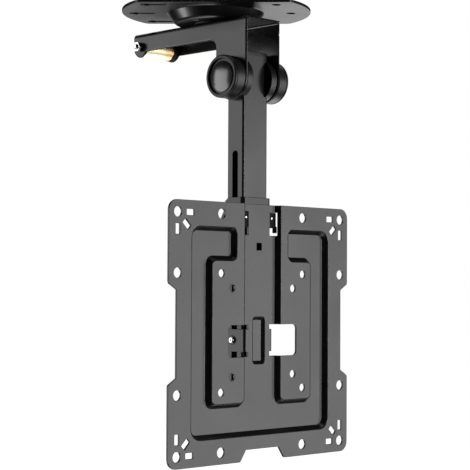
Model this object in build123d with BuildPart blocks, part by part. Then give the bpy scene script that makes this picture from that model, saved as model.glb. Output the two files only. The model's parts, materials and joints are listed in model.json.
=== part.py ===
# Ceiling mount for a flat screen, in millimetres.
# X runs to the right along the hinge pin, Y runs back along the arm, Z is up.
# The origin is on the swivel axis, in the face that goes against the ceiling.
import math
import os

from build123d import *

os.makedirs("parts", exist_ok=True)

# fits
seat_gap = 0.03
slide_gap = 0.12
pin_gap = 0.05

# ceiling plate
ceiling_sheet = 2.5
ceiling_radius = 84.5
ceiling_half_width = 52.5
ceiling_turn = -46.0
ceiling_corner = 6.0
dome_foot_radius = 43.3
dome_flat_radius = 37.0
dome_drop = 10.4
dome_foot_bend = 2.5
dome_crown_bend = 5.0
fixing_circle = 66.8
fixing_row = 40.0
fixing_hole = 7.6
keyhole_head = 9.6
keyhole_neck = 5.2
keyhole_head_shift = 6.6
keyhole_tail_shift = 9.4
dome_rivet_radius = 30.8
dome_rivet_angle = 190.7
dome_rivet_size = 4.0

# swivel joint
swivel_bolt_size = 10.0
swivel_head_size = 26.0
swivel_head_height = 4.0
swivel_socket = 4.0
swivel_socket_depth = 2.4
swivel_proud = 1.5
swivel_washer_size = 30.0
swivel_washer_height = 1.5
glide_size = 40.0
glide_height = 1.0
swivel_nut_size = 17.0
swivel_nut_height = 8.0

# arm, one folded channel
arm_sheet = 2.0
arm_half_width = 21.0
arm_bend = 4.0
arm_end_bend = 1.6
arm_front_y = -59.3
arm_rear_y = 89.1
arm_depth = 17.2
arm_inner_corner = 7.5
arm_notch = 1.2
arm_neck_bend = 3.0
lobe_radius = 9.6
lobe_y = 79.5
lobe_z = -26.6

# hinge
hinge_y = -40.1
hinge_z = -66.4
hinge_bolt_size = 10.0
hinge_head_size = 16.0
hinge_head_height = 5.0
hinge_socket = 4.2
hinge_socket_depth = 3.0
hinge_nut_size = 17.0
hinge_nut_height = 7.0
spacer_radius = 18.6
spacer_wrap = 3.8
friction_disc = 0.8
friction_radius = 17.0
cap_radius = 18.7
cap_length = 12.0
cap_rim = 1.5
cap_groove = 0.5
cap_recess_radius = 15.6
cap_recess = 2.0
cap_bore = 10.4
button_radius = 13.4
button_rise = 2.6
button_stem = 2.2

# drop tube
tube_width = 30.0
tube_depth = 20.0
tube_wall = 1.8
tube_corner = 2.0
tube_top = -45.4
tube_bottom = -371.4
slot_width = 6.3
slot_top = -129.4
slot_bottom = -349.5
plug_depth = 12.0
plug_lip = 2.5

# screen plate
plate_sheet = 2.0
plate_y = -60.3
plate_z = -286.4
vesa_outer = 100.0
vesa_inner = 50.0
vesa_least = 37.5
plate_margin = 10.0
plate_half = vesa_outer + plate_margin
plate_corner = 9.0
waist_cut = 9.0
waist_corner = 3.0
waist_height = 36.0
waist_slope = 5.5
notch_half = 20.0
notch_foot = 27.0
notch_height = 10.0
notch_corner = 2.5
emboss_depth = 5.2
emboss_draft = 3.2
ring_side_rim = 26.0
ring_top_rim = 21.2
ring_bottom_rim = 22.0
ring_corner = 10.0
panel_half = 60.8
panel_top = 61.2
panel_bottom = 60.2
panel_corner = 4.5
stem_half = 22.2
hook_end = 31.5
front_rim_bend = 2.4
front_floor_bend = 1.2
back_foot_bend = 1.0
back_crown_bend = 2.6
vesa_large_hole = 8.6
vesa_small_hole = 6.8
corner_slot_length = 8.6
corner_slot_width = 5.0
corner_slot_reach = 14.0
pill_depth = 2.6
pill_draft = 2.9
pill_half_width = 7.8
pill_half_height = 20.6
pill_corner = 3.6
square_hole = 6.2
square_hole_drop = 36.5

# fold-back ears
ear_mid_z = -7.5
ear_half_height = 9.7
ear_gap = 0.15
ear_corner = 3.0
ear_rear = 28.6
ear_bend = 2.6
ear_hole = 8.0
ear_pin_z = -7.2
window_half_height = 13.6
window_outer_x = 42.0
window_corner = 4.0

# guide sleeve and its clip slots
sleeve_wall = 2.6
sleeve_front = 7.2 + seat_gap
sleeve_rear = 33.0
sleeve_proud = 6.2
sleeve_slope = 0.78
sleeve_slope_run = 6.8
clip_inset = 1.8
clip_width = 7.0
clip_drop = 6.4
clip_height = 20.2
clip_step = 6.8
clip_front = 0.8
clip_back = 6.6
clip_gap = 0.1
barb_inner_x = 19.5
barb_outer_x = 23.6
barb_front = 6.5
barb_sheet = 2.0
barb_low = 2.4
barb_high = 8.2
clip_pin_x = 15.8
clip_pin_lift = 0.6
clip_pin_size = 1.6
clip_pin_head = 2.2
clip_pin_rise = 0.7
clip_pin_depth = 1.5
upper_bolt_drop = 5.6
upper_bolt_size = 6.0
upper_nut_size = 13.0
upper_nut_height = 6.0
upper_washer_size = 13.0
upper_washer_height = 1.0
upper_head_size = 10.2
upper_socket = 2.8
upper_socket_depth = 3.2
lower_screw_size = 4.0
lower_head_size = 5.8
lower_head_height = 2.4
lower_nut_size = 7.0
lower_nut_height = 3.2
lower_proud = 1.0

# rear cross bar
bar_radius = 8.7
bar_bush_length = 5.0
bar_bush_rise = 0.3
rear_screw_size = 5.0
rear_screw_proud = 1.8
rear_head_size = 8.5
rear_head_height = 3.0
rear_washer_size = 8.8
rear_washer_height = 1.2
rear_nut_size = 8.0
rear_nut_height = 4.0

web_top = -(ceiling_sheet + dome_drop + glide_height)
web_under = web_top - arm_sheet
arm_bottom = web_top - arm_depth
arm_inner_x = arm_half_width - arm_sheet
leg_radius = hinge_y - arm_front_y
leg_end = hinge_z - leg_radius - 1
tube_y = hinge_y
half_tube_x = tube_width / 2
waist_half = plate_half - waist_cut
ring_half = plate_half - ring_side_rim
ring_top = plate_half - ring_top_rim
ring_bottom = plate_half - ring_bottom_rim
ear_outer_x = half_tube_x + ear_gap + plate_sheet
sleeve_half_width = half_tube_x + sleeve_wall
sleeve_top = plate_half + sleeve_proud
clip_inner_x = half_tube_x - clip_inset
clip_outer_x = clip_inner_x + clip_width
clip_slot_top = plate_half - clip_drop
clip_slot_bottom = clip_slot_top - clip_height
clip_low = clip_slot_bottom + clip_step
upper_bolt_z = clip_slot_top - upper_bolt_drop


def side_plane(x):
    # sketch axes are Y and Z, and extruding goes towards +X
    return Plane(origin=(x, 0, 0), x_dir=(0, 1, 0), z_dir=(1, 0, 0))


def front_plane(y, z=0.0):
    # sketch axes are -X and Z, and extruding goes towards +Y
    return Plane(origin=(0, y, z), x_dir=(-1, 0, 0), z_dir=(0, 1, 0))


def level_plane(z, y=0.0):
    return Plane(origin=(0, y, z))


def save(solid, node):
    solid.label = node
    export_step(solid, f"parts/{node}.step")


# ceiling plate: pressed disc with two straight sides and a domed middle
turned = Plane(origin=(0, 0, 0), x_dir=(math.cos(math.radians(ceiling_turn)), math.sin(math.radians(ceiling_turn)), 0))
stop_x = dome_rivet_radius * math.cos(math.radians(dome_rivet_angle))
stop_y = dome_rivet_radius * math.sin(math.radians(dome_rivet_angle))
fixing_far = math.sqrt(fixing_circle ** 2 - fixing_row ** 2)
fixings = [(fixing_far, -fixing_row), (fixing_circle, 0), (fixing_far, fixing_row)]
dome_top_z = -dome_drop
dome_low_z = -(dome_drop + ceiling_sheet)
dome_run = dome_foot_radius - dome_flat_radius
dome_inset = ceiling_sheet * (math.hypot(dome_run, dome_drop) - dome_run) / dome_drop
dome_mouth_radius = dome_foot_radius + ceiling_sheet * dome_run / dome_drop - ceiling_sheet * math.hypot(dome_run, dome_drop) / dome_drop
dome_floor_radius = dome_flat_radius - dome_inset
with BuildPart() as ceiling_plate:
    with BuildSketch(turned):
        Circle(ceiling_radius)
        Rectangle(2 * ceiling_radius, 2 * ceiling_half_width, mode=Mode.INTERSECT)
        corners = vertices()
        fillet(corners, ceiling_corner)
    extrude(amount=-ceiling_sheet)
    with BuildSketch(Plane.XZ):
        with BuildLine():
            Polyline(
                (0, dome_low_z),
                (dome_flat_radius, dome_low_z),
                (dome_foot_radius, -ceiling_sheet),
                (dome_foot_radius, 0),
                (0, 0),
                close=True,
            )
        make_face()
    revolve(axis=Axis.Z)
    with BuildSketch(Plane.XZ):
        with BuildLine():
            Polyline(
                (0, dome_top_z),
                (dome_floor_radius, dome_top_z),
                (dome_mouth_radius, 0),
                (0, 0),
                close=True,
            )
        make_face()
    revolve(axis=Axis.Z, mode=Mode.SUBTRACT)
    foot = edges().filter_by(GeomType.CIRCLE).filter_by(lambda e: abs(e.radius - dome_foot_radius) < 0.2)
    foot_under = foot.filter_by(lambda e: abs(e.center().Z + ceiling_sheet) < 0.05)
    fillet(foot_under, dome_foot_bend)
    rim_low = edges().filter_by(GeomType.CIRCLE).filter_by(lambda e: abs(e.radius - dome_flat_radius) < 0.05)
    fillet(rim_low, dome_crown_bend)
    rim_high = edges().filter_by(GeomType.CIRCLE).filter_by(lambda e: abs(e.radius - dome_mouth_radius) < 0.05)
    fillet(rim_high, dome_foot_bend + ceiling_sheet)
    floor_high = edges().filter_by(GeomType.CIRCLE).filter_by(lambda e: abs(e.radius - dome_floor_radius) < 0.05)
    fillet(floor_high, dome_crown_bend - ceiling_sheet)
    with BuildSketch(turned):
        with Locations(*fixings):
            Circle(fixing_hole / 2)
        for along, across in fixings:
            with Locations((-along - keyhole_head_shift, across)):
                Circle(keyhole_head / 2)
            with Locations((-along + (keyhole_tail_shift - keyhole_head_shift) / 2, across)):
                SlotOverall(keyhole_head_shift + keyhole_tail_shift + keyhole_neck, keyhole_neck)
    extrude(amount=-ceiling_sheet, mode=Mode.SUBTRACT)
    with BuildSketch(level_plane(0)):
        Circle(swivel_bolt_size / 2 + pin_gap)
        with Locations((stop_x, stop_y)):
            Circle(dome_rivet_size / 2 + seat_gap / 2)
    extrude(amount=dome_low_z - 1, mode=Mode.SUBTRACT)
save(ceiling_plate.part, "ceiling_plate")

# swivel bolt with its washers, glide disc and nut
swivel_washer_low = dome_top_z + seat_gap
swivel_head_low = swivel_washer_low + swivel_washer_height + seat_gap
lower_washer_top = web_under - seat_gap
nut_top = lower_washer_top - swivel_washer_height - seat_gap
swivel_end = nut_top - swivel_nut_height - swivel_proud
with BuildPart() as swivel_bolt:
    with BuildSketch(level_plane(swivel_head_low)):
        Circle(swivel_head_size / 2)
    extrude(amount=swivel_head_height)
    chamfer(faces().sort_by(Axis.Z)[-1].edges(), 1.0)
    with BuildSketch(level_plane(swivel_head_low + swivel_head_height)):
        RegularPolygon(swivel_socket, 6)
    extrude(amount=-swivel_socket_depth, mode=Mode.SUBTRACT)
    with BuildSketch(level_plane(swivel_head_low)):
        Circle(swivel_bolt_size / 2)
    extrude(amount=swivel_end - swivel_head_low)
    chamfer(faces().sort_by(Axis.Z)[0].edges(), 0.8)
save(swivel_bolt.part, "swivel_bolt")

with BuildPart() as swivel_washer_upper:
    with BuildSketch(level_plane(swivel_washer_low)):
        Circle(swivel_washer_size / 2)
        Circle(swivel_bolt_size / 2 + seat_gap, mode=Mode.SUBTRACT)
    extrude(amount=swivel_washer_height)
    chamfer(edges().filter_by(GeomType.CIRCLE).filter_by(lambda e: e.radius > 10), 0.2)
save(swivel_washer_upper.part, "swivel_washer_upper")

with BuildPart() as swivel_glide:
    with BuildSketch(level_plane(dome_low_z - seat_gap)):
        Circle(glide_size / 2)
        Circle(swivel_bolt_size / 2 + pin_gap, mode=Mode.SUBTRACT)
    extrude(amount=-(glide_height - 2 * seat_gap))
save(swivel_glide.part, "swivel_glide")

with BuildPart() as swivel_washer_lower:
    with BuildSketch(level_plane(lower_washer_top)):
        Circle(swivel_washer_size / 2)
        Circle(swivel_bolt_size / 2 + seat_gap, mode=Mode.SUBTRACT)
    extrude(amount=-swivel_washer_height)
    chamfer(edges().filter_by(GeomType.CIRCLE).filter_by(lambda e: e.radius > 10), 0.2)
save(swivel_washer_lower.part, "swivel_washer_lower")

with BuildPart() as swivel_nut:
    with BuildSketch(level_plane(nut_top)):
        RegularPolygon(swivel_nut_size / 2, 6, major_radius=False)
        Circle(swivel_bolt_size / 2 + seat_gap, mode=Mode.SUBTRACT)
    extrude(amount=-swivel_nut_height * 0.7)
    with BuildSketch(level_plane(nut_top - swivel_nut_height * 0.7)):
        Circle(swivel_nut_size / 2 - 0.6)
        Circle(swivel_bolt_size / 2 + seat_gap, mode=Mode.SUBTRACT)
    extrude(amount=-swivel_nut_height * 0.3)
save(swivel_nut.part, "swivel_nut")

# stop rivet through the dome, its low head underneath
with BuildPart() as dome_rivet:
    with BuildSketch(Plane(origin=(stop_x, stop_y, dome_low_z - seat_gap))):
        Circle(dome_rivet_size * 0.8)
    extrude(amount=-0.7)
    fillet(faces().sort_by(Axis.Z)[0].edges(), 0.5)
    with BuildSketch(Plane(origin=(stop_x, stop_y, dome_low_z - seat_gap))):
        Circle(dome_rivet_size / 2)
    extrude(amount=ceiling_sheet + 1.0)
save(dome_rivet.part, "dome_rivet")

# arm: sheet channel open below, with legs for the hinge and lobes for the bar
with BuildPart() as channel_arm:
    with BuildSketch(Plane.XZ.offset(-arm_front_y)) as channel_section:
        with BuildLine():
            Polyline(
                (-arm_half_width, leg_end),
                (-arm_half_width, web_top),
                (arm_half_width, web_top),
                (arm_half_width, leg_end),
                (arm_inner_x, leg_end),
                (arm_inner_x, web_under),
                (-arm_inner_x, web_under),
                (-arm_inner_x, leg_end),
                close=True,
            )
        make_face()
        outer_bends = vertices().filter_by(lambda v: abs(v.Y - web_top) < 0.01)
        fillet(outer_bends, arm_bend)
        inner_bends = vertices().filter_by(lambda v: abs(v.Y - web_under) < 0.01)
        fillet(inner_bends, arm_bend - arm_sheet)
    extrude(amount=-(arm_rear_y - arm_front_y))
    with BuildSketch(side_plane(-arm_half_width - 1)) as arm_profile:
        with BuildLine():
            Polyline(
                (arm_front_y, hinge_z),
                (arm_front_y, web_top + 1),
                (arm_rear_y, web_top + 1),
                (arm_rear_y, lobe_z),
                (lobe_y, lobe_z),
                (lobe_y, arm_bottom),
                (hinge_y + leg_radius, arm_bottom),
                (hinge_y + leg_radius, hinge_z),
                close=True,
            )
        make_face()
        with Locations((hinge_y, hinge_z)):
            Circle(leg_radius)
        with Locations((lobe_y, lobe_z)):
            Circle(lobe_radius)
        leg_corner = vertices().filter_by(
            lambda v: abs(v.X - hinge_y - leg_radius) < 0.05 and abs(v.Y - arm_bottom) < 0.05)
        fillet(leg_corner, arm_inner_corner)
        neck = vertices().filter_by(lambda v: lobe_y - lobe_radius - 1 < v.X < lobe_y - 1 and abs(v.Y - arm_bottom) < 0.05)
        fillet(neck, arm_neck_bend)
    extrude(amount=2 * arm_half_width + 2, mode=Mode.INTERSECT)
    rear_top = edges().filter_by(Axis.X).filter_by(
        lambda e: abs(e.center().Y - arm_rear_y) < 0.05 and abs(e.center().Z - web_top) < 0.05)
    fillet(rear_top, arm_end_bend)
    with BuildSketch(side_plane(-arm_half_width - 1)):
        with Locations((hinge_y, hinge_z)):
            Circle(hinge_bolt_size / 2 + seat_gap)
        with Locations((lobe_y, lobe_z)):
            Circle(rear_screw_size / 2 + seat_gap)
        with Locations((arm_front_y, lobe_z)):
            Rectangle(2 * arm_notch, 1.0)
    extrude(amount=2 * arm_half_width + 2, mode=Mode.SUBTRACT)
    with BuildSketch(level_plane(0)):
        Circle(swivel_bolt_size / 2 + pin_gap)
    extrude(amount=web_under - 1, mode=Mode.SUBTRACT)
save(channel_arm.part, "channel_arm")

# hinge pin across the legs
head_x = arm_half_width + seat_gap
with BuildPart() as hinge_bolt:
    with BuildSketch(side_plane(-head_x - hinge_head_height)):
        with Locations((hinge_y, hinge_z)):
            Circle(hinge_head_size / 2)
    extrude(amount=hinge_head_height)
    chamfer(faces().sort_by(Axis.X)[0].edges(), 0.6)
    with BuildSketch(side_plane(-head_x - hinge_head_height)):
        with Locations((hinge_y, hinge_z)):
            RegularPolygon(hinge_socket, 6)
    extrude(amount=hinge_socket_depth, mode=Mode.SUBTRACT)
    with BuildSketch(side_plane(-head_x)):
        with Locations((hinge_y, hinge_z)):
            Circle(hinge_bolt_size / 2)
    extrude(amount=2 * head_x + hinge_nut_height + 0.8)
    chamfer(faces().sort_by(Axis.X)[-1].edges(), 0.6)
save(hinge_bolt.part, "hinge_bolt")

with BuildPart() as hinge_nut:
    with BuildSketch(side_plane(head_x)):
        with Locations((hinge_y, hinge_z)):
            RegularPolygon(hinge_nut_size / 2, 6, major_radius=False)
            Circle(hinge_bolt_size / 2 + seat_gap, mode=Mode.SUBTRACT)
    extrude(amount=hinge_nut_height)
save(hinge_nut.part, "hinge_nut")

spacer_inner_x = half_tube_x - spacer_wrap
spacer_outer_x = arm_inner_x - friction_disc - 2 * seat_gap
cap_end = arm_half_width + cap_length
groove_x = cap_end - cap_rim - 2 * cap_groove
button_edge = 0.7
button_arc = (button_radius ** 2 + (button_rise - button_edge) ** 2) / (2 * (button_rise - button_edge))
button_dip = button_arc - math.sqrt(button_arc ** 2 - (button_radius / 2) ** 2)
for side, name in ((-1, "left"), (1, "right")):
    with BuildPart() as hinge_spacer:
        with BuildSketch(side_plane(side * spacer_inner_x)):
            with Locations((hinge_y, hinge_z)):
                Circle(spacer_radius)
                Circle(hinge_bolt_size / 2 + pin_gap, mode=Mode.SUBTRACT)
        extrude(amount=side * (spacer_outer_x - spacer_inner_x))
        rims = edges().filter_by(GeomType.CIRCLE).filter_by(lambda e: abs(e.radius - spacer_radius) < 0.01)
        fillet(rims, 0.8)
        with Locations((0, hinge_y, hinge_z)):
            Box(tube_width + 2 * seat_gap, tube_depth + 2 * seat_gap, 3 * spacer_radius, mode=Mode.SUBTRACT)
    save(hinge_spacer.part, f"hinge_spacer_{name}")

    with BuildPart() as friction_ring:
        with BuildSketch(side_plane(side * (spacer_outer_x + seat_gap))):
            with Locations((hinge_y, hinge_z)):
                Circle(friction_radius)
                Circle(hinge_bolt_size / 2 + pin_gap, mode=Mode.SUBTRACT)
        extrude(amount=side * friction_disc)
    save(friction_ring.part, f"friction_disc_{name}")

    # round cover with a grooved, rounded rim and a shallow recess for its centre button
    with BuildPart() as hinge_cap:
        with BuildSketch(Plane(origin=(0, hinge_y, hinge_z), x_dir=(side, 0, 0), z_dir=(0, -1 * side, 0))):
            with BuildLine():
                Polyline(
                    (cap_end, cap_radius - cap_rim),
                    (cap_end, cap_recess_radius + 0.4),
                    (cap_end - 0.4, cap_recess_radius),
                    (cap_end - cap_recess, cap_recess_radius),
                    (cap_end - cap_recess, cap_bore),
                    (arm_half_width + seat_gap, cap_bore),
                    (arm_half_width + seat_gap, cap_radius - 0.6),
                    (arm_half_width + seat_gap + 0.6, cap_radius),
                    (groove_x - cap_groove, cap_radius),
                    (groove_x, cap_radius - cap_groove),
                    (groove_x + cap_groove, cap_radius),
                    (cap_end - cap_rim, cap_radius),
                )
                ThreePointArc(
                    (cap_end - cap_rim, cap_radius),
                    (cap_end - cap_rim * (1 - math.sqrt(0.5)), cap_radius - cap_rim * (1 - math.sqrt(0.5))),
                    (cap_end, cap_radius - cap_rim),
                )
            make_face()
        revolve(axis=Axis((0, hinge_y, hinge_z), (1, 0, 0)))
    save(hinge_cap.part, f"hinge_cap_{name}")

    button_seat = cap_end - cap_recess + seat_gap
    with BuildPart() as cap_button:
        with BuildSketch(Plane(origin=(0, hinge_y, hinge_z), x_dir=(side, 0, 0), z_dir=(0, -1 * side, 0))):
            with BuildLine():
                Polyline(
                    (button_seat + button_rise, 0),
                    (button_seat - button_stem, 0),
                    (button_seat - button_stem, cap_bore - seat_gap),
                    (button_seat, cap_bore - seat_gap),
                    (button_seat, button_radius),
                    (button_seat + button_edge, button_radius),
                )
                ThreePointArc(
                    (button_seat + button_edge, button_radius),
                    (button_seat + button_rise - button_dip, button_radius / 2),
                    (button_seat + button_rise, 0),
                )
            make_face()
        revolve(axis=Axis((0, hinge_y, hinge_z), (1, 0, 0)))
    save(cap_button.part, f"cap_button_{name}")

# drop tube with a long slot in each side, and its two end plugs
tube_centre = (0, tube_y)
with BuildPart() as drop_tube:
    with BuildSketch(level_plane(tube_bottom)):
        with Locations(tube_centre):
            RectangleRounded(tube_width, tube_depth, tube_corner)
            RectangleRounded(
                tube_width - 2 * tube_wall, tube_depth - 2 * tube_wall, 0.6, mode=Mode.SUBTRACT)
    extrude(amount=tube_top - tube_bottom)
    with BuildSketch(side_plane(-half_tube_x - 1)):
        with Locations((hinge_y, hinge_z)):
            Circle(hinge_bolt_size / 2 + pin_gap)
        with Locations((tube_y, (slot_top + slot_bottom) / 2)):
            SlotOverall(slot_top - slot_bottom, slot_width, rotation=90)
    extrude(amount=tube_width + 2, mode=Mode.SUBTRACT)
save(drop_tube.part, "drop_tube")

for end, way, name in ((tube_top, 1, "top"), (tube_bottom, -1, "bottom")):
    with BuildPart() as tube_plug:
        with BuildSketch(level_plane(end + way * seat_gap)):
            with Locations(tube_centre):
                RectangleRounded(tube_width, tube_depth, tube_corner)
        extrude(amount=way * plug_lip)
        fillet(faces().sort_by(Axis.Z)[-1 if way > 0 else 0].edges(), 0.8)
        with BuildSketch(level_plane(end + way * seat_gap)):
            with Locations(tube_centre):
                RectangleRounded(
                    tube_width - 2 * tube_wall - 2 * slide_gap, tube_depth - 2 * tube_wall - 2 * slide_gap, 1.0)
                Rectangle(tube_width - 2 * tube_wall - 4, tube_depth - 2 * tube_wall - 4, mode=Mode.SUBTRACT)
        extrude(amount=-way * plug_depth)
    save(tube_plug.part, f"tube_plug_{name}")

# screen plate: one pressed sheet, embossed back in a ring with two hooks and a middle stem
draft_angle = math.degrees(math.atan(emboss_draft / emboss_depth))
draft_length = math.hypot(emboss_draft, emboss_depth)
back_grow = plate_sheet * (draft_length - emboss_draft) / emboss_depth
pill_angle = math.degrees(math.atan(pill_draft / pill_depth))
pill_grow = plate_sheet * (math.hypot(pill_draft, pill_depth) - pill_draft) / pill_depth
floor_front = plate_y + emboss_depth
floor_back = floor_front + plate_sheet
open_top = plate_half + 16


def embossing(y, grow):
    # ring, hooks and stem seen from the front, grown evenly by the given amount
    low = -ring_bottom - grow
    high = ring_top + grow
    side = ring_half + grow
    inner = panel_half - grow
    stem = stem_half + grow
    hook = hook_end - grow
    foot = -(panel_bottom - grow)
    hook_low = panel_top - grow
    with BuildSketch(front_plane(y, plate_z)) as outline:
        for way in (-1, 1):
            with BuildLine():
                Polyline(
                    (0, low),
                    (way * side, low),
                    (way * side, high),
                    (way * hook, high),
                    (way * hook, hook_low),
                    (way * inner, hook_low),
                    (way * inner, foot),
                    (way * stem, foot),
                    (way * stem, open_top),
                    (0, open_top),
                    close=True,
                )
            make_face()
        outer = outline.vertices().filter_by(lambda v: abs(abs(v.X) - side) < 0.01)
        fillet(outer, ring_corner + grow)
        hooks = outline.vertices().filter_by(lambda v: abs(abs(v.X) - hook) < 0.01)
        fillet(hooks, panel_corner + 1.5 + grow)
        panels = outline.vertices().filter_by(lambda v: abs(abs(v.X) - inner) < 0.01 or (
            abs(abs(v.X) - stem) < 0.01 and abs(v.Y - foot) < 0.01))
        fillet(panels, panel_corner - grow)
    return outline.sketch


def plate_outline(y, rounded):
    with BuildSketch(front_plane(y, plate_z)) as outline:
        with BuildLine():
            Polyline(
                (-plate_half, -plate_half),
                (-notch_foot, -plate_half),
                (-notch_half, -plate_half + notch_height),
                (notch_half, -plate_half + notch_height),
                (notch_foot, -plate_half),
                (plate_half, -plate_half),
                (plate_half, -waist_height - waist_slope),
                (waist_half, -waist_height),
                (waist_half, waist_height),
                (plate_half, waist_height + waist_slope),
                (plate_half, plate_half),
                (-plate_half, plate_half),
                (-plate_half, waist_height + waist_slope),
                (-waist_half, waist_height),
                (-waist_half, -waist_height),
                (-plate_half, -waist_height - waist_slope),
                close=True,
            )
        make_face()
        if rounded:
            plate_corners = outline.vertices().filter_by(
                lambda v: abs(abs(v.X) - plate_half) < 0.01 and abs(abs(v.Y) - plate_half) < 0.01)
            fillet(plate_corners, plate_corner)
            waist_corners = outline.vertices().filter_by(lambda v: abs(v.Y) < waist_height + waist_slope + 1)
            fillet(waist_corners, waist_corner)
            notch_corners = outline.vertices().filter_by(lambda v: abs(v.X) < notch_foot + 1)
            fillet(notch_corners, notch_corner)
    return outline.sketch


window_inner_x = clip_inner_x
slot_mouth_y = floor_front - (clip_outer_x - stem_half + emboss_draft) * emboss_depth / emboss_draft - 0.1
slot_reach = 0.6
slant_reach = vesa_outer - corner_slot_reach * math.sqrt(0.5)
ear_low = ear_mid_z - ear_half_height
ear_high = ear_mid_z + ear_half_height
with BuildPart() as vesa_plate:
    extrude(plate_outline(plate_y, False), amount=plate_sheet)
    extrude(embossing(plate_y + plate_sheet, back_grow), amount=emboss_depth, taper=draft_angle)
    with BuildSketch(front_plane(floor_back, plate_z)):
        with Locations((0, ear_mid_z)):
            RectangleRounded(
                2 * (pill_half_width + pill_grow), 2 * (pill_half_height + pill_grow), pill_corner + pill_grow)
    extrude(amount=pill_depth, taper=pill_angle)
    extrude(embossing(plate_y, 0.0), amount=emboss_depth, taper=draft_angle, mode=Mode.SUBTRACT)
    with BuildSketch(front_plane(floor_front, plate_z)):
        with Locations((0, ear_mid_z)):
            RectangleRounded(2 * pill_half_width, 2 * pill_half_height, pill_corner)
    extrude(amount=pill_depth, taper=pill_angle, mode=Mode.SUBTRACT)
    bend_levels = (
        (plate_y, front_rim_bend),
        (floor_front, front_floor_bend),
        (plate_y + plate_sheet, back_foot_bend),
        (floor_back, back_crown_bend),
    )
    for level, bend in bend_levels:
        rim = edges().filter_by(lambda e: abs(e.bounding_box().min.Y - level) < 0.01
                                and abs(e.bounding_box().max.Y - level) < 0.01
                                and abs(e.center().X) < ring_half + 4
                                and plate_z - ring_bottom - 4 < e.center().Z < plate_z + plate_half - 2
                                and not (abs(e.center().X) < pill_half_width + 3
                                         and abs(e.center().Z - plate_z - ear_mid_z) < pill_half_height + 3))
        fillet(rim, bend)
    extrude(
        plate_outline(plate_y - 1, True), amount=emboss_depth + pill_depth + plate_sheet + 3, mode=Mode.INTERSECT)
    with BuildSketch(front_plane(plate_y - 1, plate_z)):
        for way_x in (-1, 1):
            for way_z in (-1, 1):
                with Locations(
                    (way_x * vesa_outer, way_z * vesa_outer),
                    (way_x * vesa_inner, way_z * vesa_outer),
                    (way_x * vesa_outer, way_z * vesa_inner),
                ):
                    Circle(vesa_large_hole / 2)
                with Locations((way_x * vesa_inner, way_z * vesa_inner), (way_x * vesa_least, way_z * vesa_least)):
                    Circle(vesa_small_hole / 2)
                with Locations((way_x * (vesa_outer - corner_slot_reach), way_z * vesa_outer)):
                    RectangleRounded(corner_slot_length, corner_slot_width, 0.6)
                with Locations((way_x * vesa_outer, way_z * (vesa_outer - corner_slot_reach))):
                    RectangleRounded(corner_slot_width, corner_slot_length, 0.6)
                with Locations(Location((way_x * slant_reach, way_z * slant_reach, 0), (0, 0, 45 * way_x * way_z))):
                    RectangleRounded(corner_slot_length, corner_slot_width, 0.6)
            with Locations((way_x * (window_inner_x + window_outer_x) / 2, ear_mid_z)):
                Rectangle(window_outer_x - window_inner_x, 2 * window_half_height)
        with Locations((0, plate_half - square_hole_drop)):
            Rectangle(square_hole, square_hole)
    extrude(amount=emboss_depth + pill_depth + plate_sheet + 3, mode=Mode.SUBTRACT)
    # clip slots, their outer ends square to the draft wall
    for way in (-1, 1):
        with BuildSketch(level_plane(plate_z + clip_slot_bottom)):
            with BuildLine():
                Polyline(
                    (way * clip_inner_x, slot_mouth_y),
                    (way * clip_outer_x, slot_mouth_y),
                    (way * (clip_outer_x + slot_reach * emboss_depth), slot_mouth_y + slot_reach * emboss_draft),
                    (way * (clip_outer_x + slot_reach * emboss_depth), floor_back + 1),
                    (way * clip_inner_x, floor_back + 1),
                    close=True,
                )
            make_face()
        extrude(amount=clip_height, mode=Mode.SUBTRACT)
    window_corners = edges().filter_by(Axis.Y).filter_by(
        lambda e: abs(abs(e.center().X) - window_outer_x) < 0.01
        and abs(abs(e.center().Z - plate_z - ear_mid_z) - window_half_height) < 0.01)
    fillet(window_corners, window_corner)
    # ears bent back from the windows, one each side of the tube
    for way in (-1, 1):
        with BuildSketch(level_plane(plate_z + ear_low)):
            with BuildLine():
                Polyline(
                    (way * (window_inner_x - 0.5), floor_front),
                    (way * ear_outer_x, floor_front),
                    (way * ear_outer_x, plate_y + ear_rear),
                    (way * (ear_outer_x - plate_sheet), plate_y + ear_rear),
                    (way * (ear_outer_x - plate_sheet), floor_back),
                    (way * (window_inner_x - 0.5), floor_back),
                    close=True,
                )
            make_face()
        extrude(amount=2 * ear_half_height)
    bend_outer = edges().filter_by(Axis.Z).filter_by(
        lambda e: abs(abs(e.center().X) - ear_outer_x) < 0.01 and abs(e.center().Y - floor_front) < 0.01)
    fillet(bend_outer, ear_bend)
    bend_inner = edges().filter_by(Axis.Z).filter_by(
        lambda e: abs(abs(e.center().X) - ear_outer_x + plate_sheet) < 0.01 and abs(e.center().Y - floor_back) < 0.01)
    fillet(bend_inner, ear_bend - plate_sheet)
    ear_corners = edges().filter_by(Axis.X).filter_by(
        lambda e: abs(e.center().Y - plate_y - ear_rear) < 0.01)
    fillet(ear_corners, ear_corner)
    with BuildSketch(side_plane(-ear_outer_x - 1)):
        with Locations((tube_y, plate_z + ear_pin_z)):
            Circle(ear_hole / 2)
    extrude(amount=2 * ear_outer_x + 2, mode=Mode.SUBTRACT)
save(vesa_plate.part, "vesa_plate")

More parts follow.
